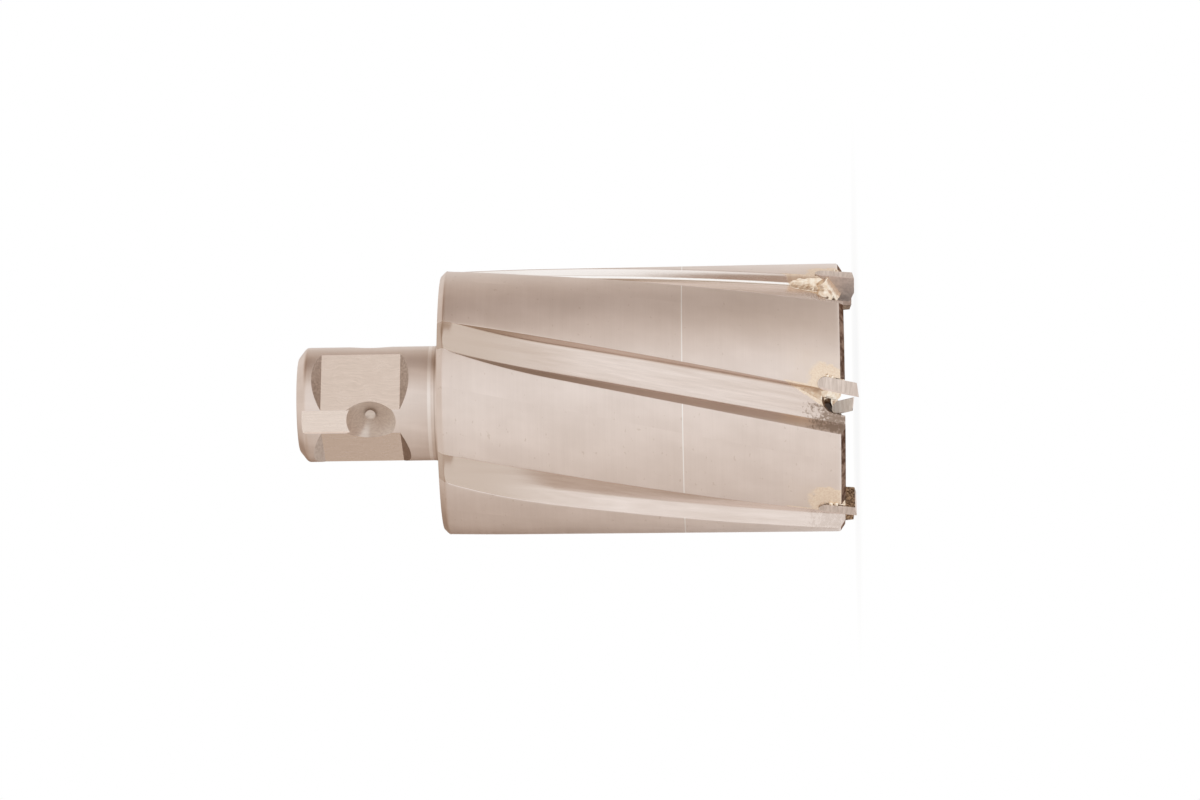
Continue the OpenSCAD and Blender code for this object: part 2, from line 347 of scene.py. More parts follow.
# milled steel of the flutes: marks run along the helix
milled = {
    "marks": 0.35, "shade": (0.90, 0.88, 0.86, 1), "rough": (0.13, 0.25),
    "endHeight": (44.0, 63.0), "endDarkening": 0.8,  # darker brown towards the shank
    "corner": 0.9, "cornerArc": (-0.55, 0.3), "cornerR": (20.8, 21.1),  # painted highlight along the corner and wall of the top flute
    "wall": 0.7, "wallArc": (-0.4, 0.4), "wallR": (20.9, 21.1),
    "heelArc": (-5.9, -5.0), "heelHeight": (25.0, 56.0), "heelShade": (0.55, 1.0),  # painted shade in the heel fillet of the middle flute
    "heelRough": 0.5, "fluxRough": 0.65, "wetRough": 0.3,
}


def makeFluteSteel():
    m = milled
    made, w, shader = newMaterial("fluteSteel")
    place, stain = w.group(toothMap), w.group(brazeStain)
    arc, high, radius = place["Arc"], place["Height"], place["Radius"]
    lines = w.group(toolMarks, Across=arc, Along=high, Fine=5.0, Stretch=0.05)["Lines"]
    streak = w.noise(w.join(w.times(arc, 0.9), w.times(high, 0.06), 2.0), 1.0, 3.0, 0.6)
    tone = markedTone(w, lines, m["marks"], w.ramp(streak, 0.3, 0.7), m["shade"])
    tone = w.mixColour(w.ramp(high, *m["endHeight"], 0.0, m["endDarkening"]), tone, steel["smokeAndShade"])
    # painted highlight: the corner and the wall of the top flute are painted bright
    corner = w.times(w.window(arc, *m["cornerArc"], 0.12), w.fall(radius, *m["cornerR"]))
    wall = w.times(w.window(arc, *m["wallArc"], 0.1), w.ramp(radius, *m["wallR"]))
    paintedGlint = w.larger(w.times(corner, m["corner"]), w.times(wall, m["wall"]))
    tone = w.mixColour(w.times(w.isTooth(place, topTooth), paintedGlint), tone, steel["bright"])
    # painted shade: the heel fillet of the middle flute is darkened, more towards the shank
    heel = w.times(w.isTooth(place, middleTooth), w.ramp(high, *m["heelHeight"], *m["heelShade"]))
    heel = w.times(w.fall(arc, *m["heelArc"]), heel)
    tone = w.mixColour(heel, tone, steel["heelShadeTone"])
    tone = w.mixColour(w.times(stain["Flux"], 0.8), tone, steel["burnt"])
    tone = w.mixColour(w.times(stain["Wet"], 0.9), tone, stain["Gold"])
    rough = w.mixValue(lines, *m["rough"])
    for mask, level in ((heel, "heelRough"), (stain["Flux"], "fluxRough"), (stain["Wet"], "wetRough")):
        rough = w.mixValue(mask, rough, m[level])
    finishMetal(w, shader, tone, rough, w.minus(lines, w.times(stain["Flux"], 1.5)), 0.00002, 0.5)
    return made


# end-milled flats, their sloping ends in painted shade: darker and lighter tone, roughness, and tint at a
# glancing angle
flatLook = {
    "flatSteel": ((0.87, 0.78, 0.72, 1), (0.92, 0.83, 0.77, 1), 0.22, white),
    # the sloping ends: the same steel painted darker as shade
    "shadedFlatEndSteel": ((0.42, 0.34, 0.29, 1), (0.62, 0.53, 0.47, 1), 0.34, (0.6, 0.5, 0.44, 1)),
    # the dimples: the same steel painted darker as shade in the recess
    "shadedDimpleSteel": ((0.62, 0.53, 0.47, 1), (0.74, 0.65, 0.58, 1), 0.26, white),
}


# the tool leaves wavy marks along the axis, so many to the mm
waves = {"across": 3.4, "along": 0.35, "sway": 5.0, "bump": (0.00001, 0.06)}


def makeFlatSteel(name):
    low, high, rough, edge = flatLook[name]
    made, w, shader = newMaterial(name)
    x, y, z = w.inMm()
    sway = w.noise(w.join(w.times(x, 0.35), w.times(y, 0.35), w.times(z, 0.3)), 1.0)
    x, y = (w.math("MULTIPLY_ADD", s, waves["across"], w.times(sway, waves["sway"])) for s in (x, y))
    lines = w.noise(w.join(x, y, w.times(z, waves["along"])), 1.0, 3.0, 0.6)
    tone = w.mixColour(w.ramp(lines, 0.3, 0.7), low, high)
    shader.inputs["Specular Tint"].default_value = edge
    finishMetal(w, shader, tone, w.mixValue(lines, rough, rough + 0.08), lines, *waves["bump"])
    return made


# dark blotched steel: the rim chamfer dark brown, the gullets scorched by the torch and in painted shade, the
# bore in painted shade; lighter and darker tone, and scale of the blots
darkSteelLook = {
    "rimSteel": ((0.34, 0.24, 0.19, 1), (0.10, 0.055, 0.04, 1), 900.0),
    # the gullets: scorch, deepened into painted shade
    "scorchedAndShadedGulletSteel": ((0.30, 0.21, 0.15, 1), (0.07, 0.045, 0.035, 1), 700.0),
    # the bore: painted shade inside the hollow
    "shadedBoreSteel": ((0.16, 0.12, 0.10, 1), (0.07, 0.05, 0.04, 1), 200.0),
}
darkSteelEdge = (0.65, 0.48, 0.38, 1)  # tint at a glancing angle


def makeDarkSteel(name):
    light, dark, scale = darkSteelLook[name]
    made, w, shader = newMaterial(name)
    blot = w.noise(w.coords(), scale, 4.0, 0.65)
    grain = w.noise(w.coords(), scale * 6, 3.0, 0.6)
    tone = w.mixColour(w.ramp(blot, 0.35, 0.65), dark, light)
    shader.inputs["Specular Tint"].default_value = darkSteelEdge
    finishMetal(w, shader, tone, w.mixValue(grain, 0.4, 0.65), grain, 0.00004, 0.6)
    return made


landSteel, shankSteel, fluteSteel = makeLandSteel(), makeShankSteel(), makeFluteSteel()
flatSteel, shadedFlatEndSteel, shadedDimpleSteel = (makeFlatSteel(name) for name in flatLook)
rimSteel, scorchedAndShadedGulletSteel, shadedBoreSteel = (makeDarkSteel(name) for name in darkSteelLook)
print("steel finishes made")


# flutes, their run-out and the heights at which the body is drawn
fluteCut = {
    "width": 7.05, "wall": 1.8, "heel": 2.1, "heelSlope": 54.0, "fillet": 0.5, "cornerR": 0.45,
    "wallLean": 0.2, "edgeR": 0.1, "mostEdge": 0.4, "rimSoft": 0.12, "topSoft": 0.1,
    "runoutR": 75.0, "runoutGap": 2.6, "runoutOver": 0.8, "leastWall": 0.004, "leastHeel": 0.002,
    "heelSteps": 9, "floorSteps": 8, "wallSteps": 3, "roundSteps": 5, "landSteps": 26,
    "rimRows": (0, .12, .25, .4, .5, .58, .65, .71, .76, .8, .85, .9, .97, 1.1, 1.35),
    "topRows": (1.3, 1.15, 1.05, .99, .94, .9, .86, .8, .72, .6, .4, .2, 0),
    "rowStep": 0.9, "rowsFrom": 2.0, "runoutStep": 0.4, "runoutRows": 50.0, "rowsEnd": 1.45,
}


def smoothMin(a, b, k):
    return 0.5 * (a + b - math.sqrt((a - b) ** 2 + k * k))


def plainRadius(z):
    return cutter["bodyR"] - cutter["backTaper"] * min(1.0, max(0.0, (z - cutter["rimZ"]) / bodyLen))


def landRadius(z):
    c, f = cutter, fluteCut
    rim = c["bodyR"] - c["rimChamferIn"] * (1 - (z - c["rimZ"]) / c["rimChamferLen"])
    top = c["bodyR"] - c["backTaper"] - c["shoulderChamfer"] + c["shoulderZ"] - z
    return smoothMin(smoothMin(plainRadius(z), rim, f["rimSoft"]), top, f["topSoft"])


def floorRise(z):
    f = fluteCut
    start = cutter["shoulderZ"] - f["runoutGap"] - math.sqrt(2 * f["runoutR"] * f["wall"] - f["wall"] ** 2)
    run = z - start
    if run <= 0:
        return 0.0
    return min(f["runoutR"] - math.sqrt(f["runoutR"] ** 2 - run ** 2), f["wall"] + f["runoutOver"])


def bend(a, c, b, steps):
    # points from a, up to but without b, on the curve that c pulls
    out = []
    for i in range(steps):
        u = i / steps
        out.append(tuple((1 - u) ** 2 * p + 2 * u * (1 - u) * q + u * u * r for p, q, r in zip(a, c, b)))
    return out


def heelLine(rim, heelR):
    # the heel's fillet and slope, from the floor to the edge: a point by its way along, the foot, the length
    f = fluteCut
    depth = max(rim - heelR, f["leastHeel"])
    slope = math.radians(f["heelSlope"])
    turn = min(slope, math.acos(max(-1.0, 1 - depth / f["fillet"])))
    foot = f["width"] - f["heel"] / math.tan(slope) - f["fillet"] * math.tan(slope / 2)
    bent = f["fillet"] * turn
    length = bent + max(0.0, depth - f["fillet"] * (1 - math.cos(turn))) / math.sin(slope)

    def heelPoint(way):
        a, on = min(way, bent) / f["fillet"], max(0.0, way - bent)
        return (foot + f["fillet"] * math.sin(a) + on * math.cos(slope),
                min(heelR + f["fillet"] * (1 - math.cos(a)) + on * math.sin(slope), rim))

    return heelPoint, foot, length


def toothSection(z):
    # one tooth: arc length from the flute's wall into the flute, radius, and which points are in the flute
    f, bodyR = fluteCut, cutter["bodyR"]
    rim = landRadius(z)
    lift = plainRadius(z) + floorRise(z)
    wallR, heelR = min(lift - f["wall"], rim - f["leastWall"]), lift - f["heel"]
    heelPoint, foot, length = heelLine(rim, heelR)
    edge = heelPoint(length)
    heelSoft = min(f["edgeR"], f["mostEdge"] * length)
    upTo = length - heelSoft
    start = bend((edge[0] + heelSoft, rim), (edge[0], rim), heelPoint(upTo), f["roundSteps"])
    flute = [heelPoint(upTo * (1 - i / f["heelSteps"])) for i in range(f["heelSteps"])]
    # flat floor between the fillet and the wall, as a straight chord
    deep = rim - wallR
    corner, soft = min(f["cornerR"], f["mostEdge"] * deep), min(f["edgeR"], f["mostEdge"] * deep)
    lean = f["wallLean"] * min(1.0, deep / f["wall"])
    ends = []
    for r, arc in ((heelR, foot), (wallR, lean)):
        ends.append(Vector((r * math.cos(arc / bodyR), r * math.sin(arc / bodyR))))

    def onFloor(p):
        return (math.atan2(p.y, p.x) * bodyR, min(p.length, rim))

    flute += [onFloor(ends[0].lerp(ends[1], i / f["floorSteps"])) for i in range(f["floorSteps"])]
    low = ends[1].lerp(ends[0], corner / (ends[0] - ends[1]).length)
    flute += bend(onFloor(low), (lean, wallR), (lean * (1 - corner / deep), wallR + corner), f["roundSteps"])
    for i in range(f["wallSteps"]):
        r = wallR + corner + (rim - soft - wallR - corner) * i / f["wallSteps"]
        flute.append((lean * (rim - r) / deep, r))
    rest = bend((lean * soft / deep, rim - soft), (0.0, rim), (-soft, rim), f["roundSteps"])
    span = pitchArc - edge[0] - heelSoft - soft
    rest += [(-soft - span * i / f["landSteps"], rim) for i in range(f["landSteps"])]
    return start + flute + rest, [False] * len(start) + [True] * len(flute) + [False] * len(rest)


def bodyHeights():
    c, f = cutter, fluteCut
    low = [c["rimZ"] + d for d in f["rimRows"]]
    middle = list(np.arange(c["rimZ"] + f["rowsFrom"], f["runoutRows"], f["rowStep"]))
    middle += list(np.arange(f["runoutRows"], c["shoulderZ"] - f["rowsEnd"], f["runoutStep"]))
    return low + middle + [c["shoulderZ"] - d for d in f["topRows"]]


def onTooth(k, arc, r, z):
    # point by its arc length from the wall of tooth k into the flute
    c = cutter
    wall = firstTooth + k * pitchAngle + c["tipProud"] / c["bodyR"] + 2 * math.pi * z / c["lead"]
    turn = wall - arc / c["bodyR"]
    return (r * math.cos(turn), r * math.sin(turn), z)


def ring(r, z, steps):
    turns = [2 * math.pi * j / steps for j in range(steps)]
    return [(r * math.cos(t), r * math.sin(t), z) for t in turns]


def quad(a, b, j, count):
    # face between two closed rows of count points, which start at a and b
    n = (j + 1) % count
    return (a + j, a + n, b + n, b + j)


def meshObject(name, points, faces, materials, slots=None):
    mesh = bpy.data.meshes.new(name)
    mesh.from_pydata([tuple(c * mm for c in p) for p in points], [], faces)
    for m in materials:
        mesh.materials.append(m)
    if slots is not None:
        mesh.polygons.foreach_set("material_index", slots)
    mesh.update()
    made = bpy.data.objects.new(name, mesh)
    bpy.context.scene.collection.objects.link(made)
    return made


def loftBody():
    finishes = [landSteel, fluteSteel, rimSteel, shankSteel]
    onLand, inFlute, onRim, onShoulder = range(4)
    heights = bodyHeights()
    rimEnd = cutter["rimZ"] + cutter["rimChamferLen"] - 0.05
    points, slots, faces = [], [], []
    for z in heights:
        section, isFlute = toothSection(z)
        points += [onTooth(k, arc, r, z) for k in range(cutter["teeth"]) for arc, r in section]
    count = len(section) * cutter["teeth"]
    for i in range(len(heights) - 1):
        outside = onRim if 0.5 * (heights[i] + heights[i + 1]) < rimEnd else onLand
        for j in range(count):
            faces.append(quad(i * count, (i + 1) * count, j, count))
            slots.append(inFlute if isFlute[j % len(isFlute)] else outside)
    faces.append(tuple(range(count - 1, -1, -1)))
    faces.append(tuple((len(heights) - 1) * count + j for j in range(count)))
    return meshObject("cutterSkin", points, faces, finishes, slots + [onRim, onShoulder])


def lathe(name, profile, material, steps=288, matrix=None):
    # profile runs from the lower pole to the upper one, as (radius, height)
    points, faces = [(0, 0, profile[0][1])], []
    rings = profile[1:-1]
    for r, z in rings:
        points += ring(r, z, steps)
    points.append((0, 0, profile[-1][1]))
    last, top = len(points) - 1, 1 + (len(rings) - 1) * steps
    for j in range(steps):
        n = (j + 1) % steps
        faces.append((0, 1 + n, 1 + j))
        faces += [quad(1 + i * steps, 1 + (i + 1) * steps, j, steps) for i in range(len(rings) - 1)]
        faces.append((top + j, top + n, last))
    if matrix:
        points = [tuple(matrix @ Vector(p)) for p in points]
    return meshObject(name, points, faces, [material])


def prism(name, outline, matrix, low, high, material):
    # outline runs anticlockwise in the matrix's xy plane
    n = len(outline)
    points = [tuple(matrix @ Vector((x, y, z))) for z in (low, high) for x, y in outline]
    faces = [tuple(range(n - 1, -1, -1)), tuple(range(n, 2 * n))]
    faces += [quad(0, n, j, n) for j in range(n)]
    return meshObject(name, points, faces, [material])


def carve(target, tool, operation="DIFFERENCE"):
    cut = target.modifiers.new("cut", "BOOLEAN")
    cut.operation, cut.object, cut.solver = operation, tool, "MANIFOLD"
    cut.material_mode = "TRANSFER"
    graph = bpy.context.evaluated_depsgraph_get()
    mesh = bpy.data.meshes.new_from_object(target.evaluated_get(graph))
    target.modifiers.clear()
    old, target.data = target.data, mesh
    bpy.data.meshes.remove(old)
    bpy.data.meshes.remove(tool.data)


def toothMatrix(k):
    # x along the radius at tooth k, y towards the back of its tip, z along the flute
    return Matrix.Rotation(firstTooth + k * pitchAngle, 4, "Z") @ Matrix.Rotation(-tipTilt, 4, "X")


def slopedMatrix(k, slope, r, endR, endZ):
    # frame of a cut whose round end slopes inwards
    s = math.radians(slope)
    shift = Matrix.Translation((endR, 0, endZ - r / math.cos(s)))
    return toothMatrix(k) @ shift @ Matrix.Rotation(math.pi / 2 - s, 4, "Y")


def arcPoints(x, y, r, start, end, steps):
    turns = [math.radians(start + (end - start) * i / steps) for i in range(steps + 1)]
    return [(x + r * math.cos(t), y + r * math.sin(t)) for t in turns]


gulletCut = {"r": 2.3, "gap": 1.1, "reach": 5.9, "slope": 12.0, "floorR": 20.5}
wayOut = 30  # where the cutting tools end, well outside the cutter
seatInner = -12  # the seat's inner end, down its slope


def gulletTool(k):
    g = gulletCut
    half = math.degrees(math.asin(g["gap"] / g["r"]))
    line = arcPoints(0, -g["gap"], g["r"], 180 - half, 270, 40) + [(wayOut, -g["gap"] - g["r"]), (wayOut, 0)]
    matrix = slopedMatrix(k, g["slope"], g["r"], g["floorR"], g["reach"])
    return prism("gulletTool", line, matrix, -wayOut, wayOut, scorchedAndShadedGulletSteel)


def seatMatrix(k):
    return slopedMatrix(k, cutter["tipSlope"], cutter["tipT"] / 2, cutter["bodyR"], cutter["tipLen"])


def seatTool(k, gap):
    r = cutter["tipT"] / 2
    line = arcPoints(0, r, r + gap, 90, 270, 40) + [(wayOut, -gap), (wayOut, 2 * r + gap)]
    return prism("seatTool", line, seatMatrix(k), seatInner, wayOut, scorchedAndShadedGulletSteel)


shankCut = {
    "r": 9.525, "fillet": 1.5, "chamferLen": 1.4, "chamferIn": 1.8, "sunk": 6,
    "softLow": 0.45, "softUp": (0.42, 0.33), "softFace": (0.3, 0.235), "softIn": 0.25,  # rounded chamfer
    "pilotR": 4.0, "pilotChamfer": 0.8,
    "turn": -108.0, "dimples": 3, "dimpleR": 4.45, "dimpleDrop": 12.1, "pointR": 0.9, "pointDepth": 0.5,
    "grooveW": 3.9, "grooveDepth": 0.66, "flatAt": 8.0, "flatLen": 13.1, "flatDrop": 4.1, "flatAngle": 45.0,
    "over": 3, "deep": 5.0, "halfWide": 12,  # reach of the cutting tools past the steel
}


def shankBar():
    # rounded end chamfer, and a fillet at the root
    c, s = cutter, shankCut
    foot, turns = c["shoulderZ"] - s["sunk"], [math.radians(a) for a in range(0, 91, 9)]
    rootX, rootZ = s["r"] + s["fillet"], c["shoulderZ"] + s["fillet"]
    root = [(rootX - s["fillet"] * math.sin(t), rootZ - s["fillet"] * math.cos(t)) for t in turns]
    end, inner = (s["r"], c["topZ"] - s["chamferLen"]), (s["r"] - s["chamferIn"], c["topZ"])
    low, up = (s["r"], end[1] - s["softLow"]), (end[0] - s["softUp"][0], end[1] + s["softUp"][1])
    face = (inner[0] + s["softFace"][0], inner[1] - s["softFace"][1])
    flat = (inner[0] - s["softIn"], inner[1])
    soft = bend(low, end, up, 6) + [up] + bend(face, inner, flat, 4) + [flat]
    profile = [(0, foot), (rootX, foot)] + root + soft + [(0, c["topZ"])]
    return lathe("shankBar", profile, shankSteel)


def hollowTool():
    # bore, its filleted end and the pilot bore
    c, s = cutter, shankCut
    turns = [math.radians(a) for a in range(0, 91, 10)]
    mouth, r, pilot = c["boreR"] + c["boreChamfer"], c["floorFillet"], s["pilotR"]
    profile = [(0, -s["over"]), (mouth, -s["over"]), (mouth, c["rimZ"])]
    profile.append((c["boreR"], c["rimZ"] + c["boreChamfer"]))
    profile += [(c["boreR"] - r * (1 - math.cos(t)), c["floorZ"] - r * (1 - math.sin(t))) for t in turns]
    profile += [(pilot, c["floorZ"]), (pilot, c["topZ"] - s["pilotChamfer"])]
    profile += [(pilot + s["pilotChamfer"] + 1, c["topZ"] + 1), (0, c["topZ"] + 1)]
    return lathe("hollowTool", profile, shadedBoreSteel)


def flatTool(turn):
    # a drive flat with sloping ends
    s, deep = shankCut, shankCut["deep"]
    line = [(0, 0), (deep, -deep), (deep, s["flatLen"] + deep), (0, s["flatLen"])]
    spin = Matrix.Rotation(math.radians(s["turn"] + turn), 4, "Z")
    shift = Matrix.Translation((s["flatAt"], 0, cutter["topZ"] - s["flatDrop"] - s["flatLen"]))
    matrix = spin @ shift @ Matrix.Rotation(math.pi / 2, 4, "X")
    tool = prism("flatTool", line, matrix, -s["halfWide"], s["halfWide"], flatSteel)
    tool.data.materials.append(shadedFlatEndSteel)
    for face in (2, 4):  # the two ends, painted darker as shade
        tool.data.polygons[face].material_index = 1
    return tool


def grooveTool(spin, dimpleZ):
    s, half, deep = shankCut, shankCut["grooveW"] / 2, shankCut["deep"]
    line = [(0, -half), (deep, -half), (deep, half), (0, half)]
    matrix = spin @ Matrix.Translation((s["r"] - s["grooveDepth"], 0, dimpleZ))
    return prism("grooveTool", line, matrix, 0, s["dimpleDrop"] + s["over"], flatSteel)


def dimpleTool(spin, dimpleZ):
    s = shankCut
    pointAt = s["r"] - (s["dimpleR"] - s["pointR"])
    cone = [(0, pointAt - s["pointDepth"]), (s["pointR"], pointAt - s["pointDepth"]), (s["pointR"], pointAt)]
    cone += [(s["dimpleR"] + s["over"], s["r"] + s["over"]), (0, s["r"] + s["over"])]
    matrix = spin @ Matrix.Translation((0, 0, dimpleZ)) @ Matrix.Rotation(math.pi / 2, 4, "Y")
    return lathe("dimpleTool", cone, shadedDimpleSteel, 144, matrix)


def makeSkin():
    s = shankCut
    body = loftBody()
    carve(body, shankBar(), "UNION")
    carve(body, hollowTool())
    for k in range(cutter["teeth"]):
        carve(body, gulletTool(k))
        carve(body, seatTool(k, cutter["brazeGap"]))
    for turn in (-s["flatAngle"], s["flatAngle"]):
        carve(body, flatTool(turn))
    dimpleZ = cutter["topZ"] - s["dimpleDrop"]
    for i in range(s["dimples"]):
        spin = Matrix.Rotation(math.radians(s["turn"] + 360 / s["dimples"] * i), 4, "Z")
        carve(body, grooveTool(spin, dimpleZ))
        carve(body, dimpleTool(spin, dimpleZ))
    return body


# ground carbide: stripes round the axis on the outside, mottled on the rake, stained by heat behind, and
# painted light on the far tip's inner side
carbideLook = {
    "outer": ((0.56, 0.47, 0.41, 1), (0.80, 0.69, 0.62, 1)),
    "rake": ((0.56, 0.46, 0.41, 1), (0.95, 0.82, 0.75, 1)),
    "stained": ((0.10, 0.055, 0.03, 1), (0.44, 0.29, 0.18, 1)),
    "pale": ((0.80, 0.67, 0.57, 1), (1.0, 0.89, 0.79, 1)),  # inner side of the far tip, in painted light
    "innerR": (18.62, 18.8), "outerR": (22.42, 22.47),
}


def makeCarbide():
    made, w, shader = newMaterial("groundCarbide")
    place = w.group(toothMap)
    arc, high, radius = place["Arc"], place["Height"], place["Radius"]
    lines = w.group(toolMarks, Across=high, Along=arc, Fine=7.0, Stretch=0.06)["Lines"]
    mottle = w.noise(w.coords(), 2600.0, 3.0, 0.6)
    stripes = w.ramp(lines, 0.34, 0.66)
    stained = w.mixColour(w.ramp(mottle, 0.38, 0.62), *carbideLook["stained"])
    tone = w.mixColour(w.ramp(arc, 1.95, 2.15), w.mixColour(mottle, *carbideLook["rake"]), stained)
    inner = w.fall(radius, *carbideLook["innerR"])
    behindRake = w.ramp(w.minus(arc, w.times(high, 0.06)), 0.04, 0.09)
    ground = w.times(w.larger(w.ramp(radius, *carbideLook["outerR"]), inner), behindRake)
    tone = w.mixColour(ground, tone, w.mixColour(stripes, *carbideLook["outer"]))
    # painted light: the far tip's inner side is lighter than the other ground faces
    pale = w.mixColour(stripes, *carbideLook["pale"])
    inside = w.mixColour(w.isTooth(place, farTooth), stained, pale)
    tone = w.mixColour(w.times(inner, ground), tone, inside)
    rough = w.mixValue(ground, w.mixValue(mottle, 0.5, 0.7), 0.34)
    finishMetal(w, shader, tone, rough, w.plus(lines, w.times(mottle, 0.5)), 0.00003, 0.6)
    return made


brazeLook = {
    "dark": (0.84, 0.68, 0.52, 1), "light": (1.0, 0.91, 0.79, 1),
    "rough": (0.2, 0.42), "bump": (0.00005, 0.6),
}


def makeBraze():
    made, w, shader = newMaterial("brazeGold")
    blot = w.noise(w.coords(), 1100.0, 3.0, 0.6)
    tone = w.mixColour(w.ramp(blot, 0.3, 0.7), brazeLook["dark"], brazeLook["light"])
    finishMetal(w, shader, tone, w.mixValue(blot, *brazeLook["rough"]), blot, *brazeLook["bump"])
    return made


carbide, braze = makeCarbide(), makeBraze()
for k in range(1, cutter["teeth"] + 1):
    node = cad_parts[f"carbide_tip_{k}"]
    node.data.materials.clear()
    node.data.materials.append(carbide)
print("tips finished")


# brazing alloy round a tip, in mm
brazeForm = {
    "clear": 0.16, "filmTop": 12.0,  # film in the seat
    "low": 5.2, "full": 5.9, "top": 11.0, "wide": 2.1, "high": 1.62, "sink": 0.45, "rows": 34,  # corner bead
    "endR": 0.8, "endOut": 1.2, "endBack": 0.4, "endFrom": -4.3, "endTo": -0.5,  # bead down the tip's end
    "drops": 3, "dropR": (0.22, 0.4), "dropBack": (0.1, 0.3), "dropZ": (3.4, 5.8), "dropIn": 0.09, "seed": 40,
    "extra": 1.45, "topTaper": 0.3, "pool": (1.35, (19.7, -1.5, 5.0)),  # the top tooth has more
    "voxel": 0.085, "lumps": 0.07, "lumpScale": (1.1, 2.7),
}


def ringBand(innerR, outerR, low, high):
    steps = 144
    points, faces = [], []
    for r, z in ((innerR, low), (outerR, low), (outerR, high), (innerR, high)):
        points += ring(r, z, steps)
    for i in range(4):
        faces += [quad(i * steps, (i + 1) % 4 * steps, j, steps) for j in range(steps)]
    return meshObject("ringBand", points, faces, [braze])


def seatFilm(k):
    c, f = cutter, brazeForm
    r, gap = c["tipT"] / 2, c["brazeGap"]
    stop = 180 + math.degrees(math.asin((r - f["clear"]) / (r + gap)))
    line = arcPoints(0, r, r + gap, 90, stop, 36) + [(wayOut, f["clear"]), (wayOut, 2 * r + gap)]
    film = prism("film", line, seatMatrix(k), seatInner, wayOut, braze)
    carve(film, ringBand(c["boreR"] + 0.1, c["bodyR"] - 0.02, c["rimZ"] + 0.05, f["filmTop"]), "INTERSECT")
    return film


def cornerBead(k):
    f = brazeForm
    floorR = cutter["bodyR"] - fluteCut["wall"]
    taper = f["topTaper"] if k == topTooth else 1.0
    points, faces = [], []
    for z in np.linspace(f["low"], f["top"], f["rows"]):
        share = min(1.0, (f["top"] - z) / (f["top"] - f["full"])) ** taper
        w, h = f["wide"] * share + 0.02, f["high"] * share ** 0.8 + 0.02
        line = [(-0.1, -f["sink"]), (w, -f["sink"])]
        line += bend((w, -0.12), (0.2 * w, 0.18 * h), (0.0, h), 8) + [(0.0, h), (-0.1, h)]
        points += [onTooth(k, arc, floorR + rise, z) for arc, rise in line]
    n = len(line)
    for i in range(f["rows"] - 1):
        faces += [quad(i * n, (i + 1) * n, j, n) for j in range(n)]
    faces.append(tuple(reversed(range(n))))
    faces.append(tuple((f["rows"] - 1) * n + j for j in range(n)))
    bead = meshObject("cornerBead", points, faces, [braze])
    carve(bead, gulletTool(k))
    return bead


def endBead(k):
    f = brazeForm
    extra = f["extra"] if k == topTooth else 1.0
    circle = arcPoints(0, 0, 1, 0, 345, 23)
    line = [(f["endR"] * extra * x - f["endBack"], f["endOut"] * extra * y) for x, y in circle]
    return prism("endBead", line, seatMatrix(k), f["endFrom"], f["endTo"], braze)


def brazeDrops(k):
    c, f = cutter, brazeForm
    chance = np.random.default_rng(f["seed"] + k)
    spots = []
    for _ in range(f["drops"]):
        size = chance.uniform(*f["dropR"])
        back = c["tipT"] + chance.uniform(*f["dropBack"])
        spots.append((size, (c["cutR"] - f["dropIn"] - size, back, chance.uniform(*f["dropZ"]))))
    if k == topTooth:
        spots.append(f["pool"])
    drops = []
    for size, spot in spots:
        ball = bmesh.new()
        where = Matrix.Translation(toothMatrix(k) @ Vector(spot))
        bmesh.ops.create_icosphere(ball, subdivisions=3, radius=size, matrix=where)
        mesh = bpy.data.meshes.new("drop")
        ball.to_mesh(mesh)
        ball.free()
        mesh.transform(Matrix.Scale(mm, 4))
        drops.append(bpy.data.objects.new("drop", mesh))
    return drops


def fuse(name, pieces):
    # melts pieces together on a fine grid, in mm, and lets the surface swell and sink a little
    f = brazeForm
    grown = bmesh.new()
    for piece in pieces:
        grown.from_mesh(piece.data)
        bpy.data.meshes.remove(piece.data)
    mesh = bpy.data.meshes.new(name)
    grown.to_mesh(mesh)
    grown.free()
    mesh.transform(Matrix.Scale(1 / mm, 4))
    made = bpy.data.objects.new(name, mesh)
    bpy.context.scene.collection.objects.link(made)
    melt = made.modifiers.new("melt", "REMESH")
    melt.mode, melt.voxel_size = "VOXEL", f["voxel"]
    ease = made.modifiers.new("ease", "SMOOTH")
    ease.factor, ease.iterations = 0.5, 6
    graph = bpy.context.evaluated_depsgraph_get()
    fresh = bpy.data.meshes.new_from_object(made.evaluated_get(graph))
    made.modifiers.clear()
    made.data = fresh
    bpy.data.meshes.remove(mesh)
    spots, normals = (np.empty(3 * len(fresh.vertices)) for _ in range(2))
    fresh.vertices.foreach_get("co", spots)
    fresh.vertices.foreach_get("normal", normals)
    broad, fine = f["lumpScale"]
    swell = []
    for spot in spots.reshape(-1, 3):
        p = Vector(spot)
        swell.append(f["lumps"] * (noise.noise(p * broad) + 0.5 * noise.noise(p * fine)))
    fresh.vertices.foreach_set("co", spots + normals * np.repeat(swell, 3))
    fresh.transform(Matrix.Scale(mm, 4))
    fresh.materials.clear()
    fresh.materials.append(braze)
    return made


def makeBrazePiece(k):
    pieces = [seatFilm(k), cornerBead(k), endBead(k)] + brazeDrops(k)
    piece = fuse(f"brazeMetal_{k + 1}", pieces)
    carve(piece, seatTool(k, 0.0))
    for p in piece.data.polygons:
        p.use_smooth = True
        p.material_index = 0
    piece.data.set_sharp_from_angle(angle=math.radians(50))
    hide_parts(f"braze_{k + 1}")
    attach(piece, "root")
    return len(piece.data.polygons)


print("braze made:", [makeBrazePiece(k) for k in range(cutter["teeth"])])


skin = makeSkin()
skin.data.set_sharp_from_angle(angle=math.radians(28))
for p in skin.data.polygons:
    p.use_smooth = True
weighted = skin.modifiers.new("evenNormals", "WEIGHTED_NORMAL")
weighted.keep_sharp = True
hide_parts("cutter_body")
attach(skin, "root")
print("body made:", len(skin.data.polygons), "faces", [m.name for m in skin.data.materials])


# white paper, in metres; next to the cutter a little of its shadow is left
paper = {
    "radius": 3.0, "edges": 96, "tone": (0.9, 0.9, 0.9, 1), "rough": 0.9,
    "shadow": (0.0225, 0.05), "white": (0.93, 1.0),
}


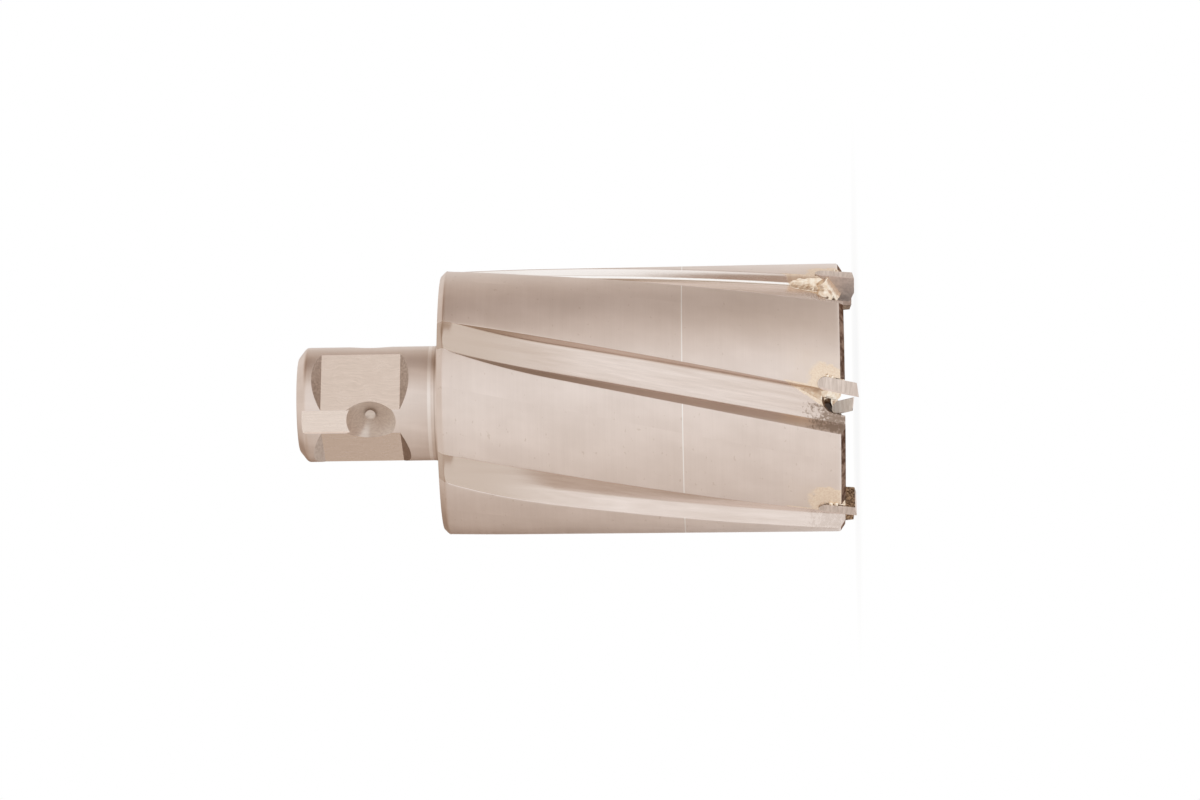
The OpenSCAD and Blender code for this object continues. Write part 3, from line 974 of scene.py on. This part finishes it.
def makeFloor():
    bpy.ops.mesh.primitive_circle_add(
        vertices=paper["edges"], radius=paper["radius"], fill_type="NGON", location=(0, 0, 0))
    floor = bpy.context.object
    floor.name = "paleFloor"
    made, w, shader = newMaterial("palePaper")
    shader.inputs["Base Color"].default_value = paper["tone"]
    shader.inputs["Roughness"].default_value = paper["rough"]
    path = w.node("ShaderNodeLightPath").outputs
    seen = w.larger(path["Is Camera Ray"], w.larger(path["Is Glossy Ray"], path["Is Transmission Ray"]))
    x, y, _ = w.split(w.coords())
    blend = w.node("ShaderNodeMixShader")
    w.put(blend.inputs[0], w.times(seen, w.ramp(w.length(x, y), *paper["shadow"], *paper["white"])))
    w.put(blend.inputs[1], shader.outputs[0])
    w.put(blend.inputs[2], w.node("ShaderNodeEmission").outputs[0])
    w.put(made.node_tree.nodes["Material Output"].inputs["Surface"], blend.outputs[0])
    floor.data.materials.append(made)


# the room is white, with soft dim stretches: the angle is counted from the camera's side towards +x
room = {
    "dims": [  # centre and half width in degrees, depth at the centre, and the most that is taken off
        (93.0, 64.0, 0.86, 0.78),
        (-110.0, 115.0, 0.56, 1.0),
        (-160.0, 36.0, 0.5, 1.0),
    ],
    "ends": 0.8, "endHeight": (0.55, 0.95), "warmth": (0.85, 1.14, 1.4),
}


def makeRoom():
    world = bpy.data.worlds.new("whiteRoom")
    bpy.context.scene.world = world
    world.use_nodes = True
    w = Wires(world.node_tree)
    x, y, z = w.split(w.coords("Generated"))
    turn = w.math("DEGREES", w.math("ARCTAN2", x, w.times(y, -1.0)))
    level = 1.0
    for centre, reach, depth, most in room["dims"]:
        off = w.math("ABSOLUTE", w.math("WRAP", w.minus(turn, centre), -180.0, 180.0))
        dip = w.times(w.math("SUBTRACT", 1.0, w.math("DIVIDE", off, reach), clamp=True), depth)
        level = w.minus(level, w.math("MINIMUM", dip, most))
    level = w.mixValue(w.ramp(w.math("ABSOLUTE", z), *room["endHeight"]), level, room["ends"])
    tone = w.node("ShaderNodeCombineColor")
    for socket, power in zip(tone.inputs, room["warmth"]):
        w.put(socket, w.math("POWER", level, power))
    path = w.node("ShaderNodeLightPath").outputs
    seen = w.larger(path["Is Camera Ray"], path["Is Transmission Ray"])
    back = world.node_tree.nodes["Background"]
    w.put(back.inputs["Color"], w.mixColour(seen, tone.outputs[0], white))
    back.inputs["Strength"].default_value = 1.0


# photograph: square to the axis, shank to the left, so the camera rolls a quarter turn; metres
photo = {"distance": 0.932, "footZ": 0.0169, "aimZ": 0.0427, "aimX": 0.00014, "rollDeg": -0.83, "lens": 167.8}


def makeCamera():
    data = bpy.data.cameras.new("photoCamera")
    data.lens, data.sensor_width, data.sensor_fit = photo["lens"], 36.0, "HORIZONTAL"
    data.clip_start, data.clip_end = 0.01, 50.0
    camera = bpy.data.objects.new("photoCamera", data)
    place = Vector((0, -photo["distance"], photo["footZ"]))
    back = (place - Vector((photo["aimX"], 0, photo["aimZ"]))).normalized()
    roll = math.radians(photo["rollDeg"])
    right = Vector((math.cos(roll), 0, math.sin(roll))).cross(back).normalized()
    up = back.cross(right)
    camera.matrix_world = Matrix.Translation(place) @ Matrix((right, up, back)).transposed().to_4x4()
    bpy.context.scene.collection.objects.link(camera)
    bpy.context.scene.camera = camera


makeFloor()
makeRoom()
makeCamera()
bpy.context.scene.view_settings.view_transform = "Standard"
print("stage set")
